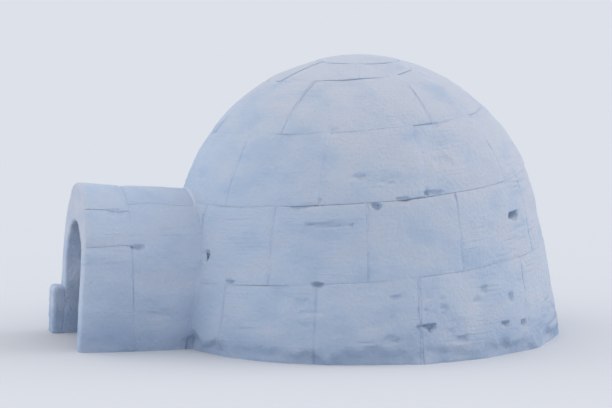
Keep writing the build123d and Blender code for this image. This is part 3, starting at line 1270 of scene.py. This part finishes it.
# Foot block: a low leftover block, set on the ground against the foot of the left jamb in
# front of the mouth, where it keeps drifting snow out. Its edges are worn round.
foot_batter = 0.012
foot_bedding = 0.028
foot_round = 0.026
foot_grid = 0.007
foot_lumps, foot_shrink = ((0.009, 7.0), (0.004, 22.0)), 0.003
ground_edge = 0.012
foot_low, foot_high = map(Vector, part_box("entrance_foot_block"))
foot_middle = (foot_low + foot_high) / 2
foot_size = foot_high - foot_low
foot_form = bmesh.new()
bmesh.ops.create_cube(foot_form, size=1.0)
for vertex in foot_form.verts:
    top, back = vertex.co.z > 0, vertex.co.y > 0
    lean_back = foot_batter * (top and not back) - (foot_high.y + mouth_distance) * (back and not top)
    lean_back += foot_bedding * back
    vertex.co = foot_middle + vertex.co * foot_size + Vector((0, lean_back, 0))
off_ground = [e for e in foot_form.edges if max(v.co.z for v in e.verts) > ground_edge]
bmesh.ops.bevel(foot_form, geom=off_ground, offset=foot_round, segments=4, profile=0.5, affect="EDGES")
foot_block = in_scene("entrance_foot_block_worn", mesh_from("entrance_foot_block_worn", foot_form))
remesh = foot_block.modifiers.new("even grid", "REMESH")
remesh.mode = "VOXEL"
remesh.voxel_size = foot_grid
foot_shape = baked(foot_block)
foot_block.data = foot_shape
for vertex in foot_shape.vertices:
    heave = sum(size * noise.noise(vertex.co * to_metre) for size, to_metre in foot_lumps) - foot_shrink
    if vertex.co.z > ground_edge:
        vertex.co += vertex.normal * heave
    vertex.co.z = max(vertex.co.z, 0.0)
# Lie: how far each point faces the painted light's direction, so that the material paints it lighter.
foot_lie = foot_shape.attributes.new("lie", "FLOAT", "POINT")
foot_face = foot_shape.attributes.new("block_face", "FLOAT_VECTOR", "POINT")
for vertex, upward, face in zip(foot_shape.vertices, foot_lie.data, foot_face.data):
    upward.value = vertex.normal.dot(Vector(lit_from))
    face.vector = vertex.co
finish_smooth(foot_shape, entrance_snow)
put_in_place(foot_block, "snow_block", "entrance_foot_block")

bpy.data.objects.remove(passage_form)
bpy.data.objects.remove(chips_object)

# Stage: a plain pale floor that runs to the horizon, and a plain pale backdrop, which the
# camera sees in place of the even white sky that lights the igloo.
floor_size = 60.0
floor_form = bmesh.new()
bmesh.ops.create_grid(floor_form, x_segments=2, y_segments=2, size=floor_size)
floor = in_scene("floor", mesh_from("floor", floor_form))
floor_finish = bpy.data.materials.new("pale floor")
floor_values = {"Base Color": (0.62, 0.645, 0.70, 1.0), "Roughness": 1.0, "Specular IOR Level": 0.0}
give(shader_of(floor_finish).inputs, floor_values)
floor.data.materials.append(floor_finish)

world = bpy.data.worlds.new("soft sky")
bpy.context.scene.world = world
world.use_nodes = True
sky = next(n for n in world.node_tree.nodes if n.type == "BACKGROUND")
give(sky.inputs, {"Color": (1.0, 1.0, 1.0, 1.0), "Strength": 0.93})
seen = flow("ShaderNodeBackground", (0.66, 0.69, 0.745, 1.0), 1.0, tree=world.node_tree)
by_camera = flow("ShaderNodeLightPath", tree=world.node_tree, output="Is Camera Ray")
world_output = next(n for n in world.node_tree.nodes if n.type == "OUTPUT_WORLD")
give(world_output.inputs, {"Surface": flow("ShaderNodeMixShader", by_camera, Flows(sky)[0], seen)})

# Light: two very soft suns under the pale sky, the key from the right of the camera's view
# and a weaker fill from the left.
view_azimuth, view_elevation = radians(78.0), radians(7.5)
view_right = Vector((cos(view_azimuth), sin(view_azimuth), 0.0))
toward_camera = Vector((sin(view_azimuth), -cos(view_azimuth), 0.0)) * cos(view_elevation)
toward_camera.z = sin(view_elevation)
soft_suns = (("key", 0.85, -0.15, 0.60, 0.88, 45.0), ("left fill", -0.95, -0.25, 0.35, 0.78, 60.0))
for name, to_right, to_front, rise, strength, spread in soft_suns:
    aim = view_right * to_right + toward_camera * to_front + Vector((0, 0, rise))
    lamp = bpy.data.lights.new(name, "SUN")
    lamp.energy = strength
    lamp.angle = radians(spread)
    holder = in_scene(name, lamp)
    holder.rotation_mode = "QUATERNION"
    holder.rotation_quaternion = aim.normalized().to_track_quat("Z", "Y")

# Camera: the photograph's viewing direction, drawn in on the igloo alone.
camera_distance = 22.0
look_at = Vector((-0.070, -0.330, 0.83))
camera_data = bpy.data.cameras.new("camera")
camera_data.lens = 200.0
camera_data.sensor_width = 36.0
camera = in_scene("camera", camera_data)
camera.location = look_at + toward_camera * camera_distance
camera.rotation_mode = "QUATERNION"
camera.rotation_quaternion = (-toward_camera).to_track_quat("-Z", "Y")
bpy.context.scene.camera = camera
bpy.context.scene.view_settings.view_transform = "Standard"
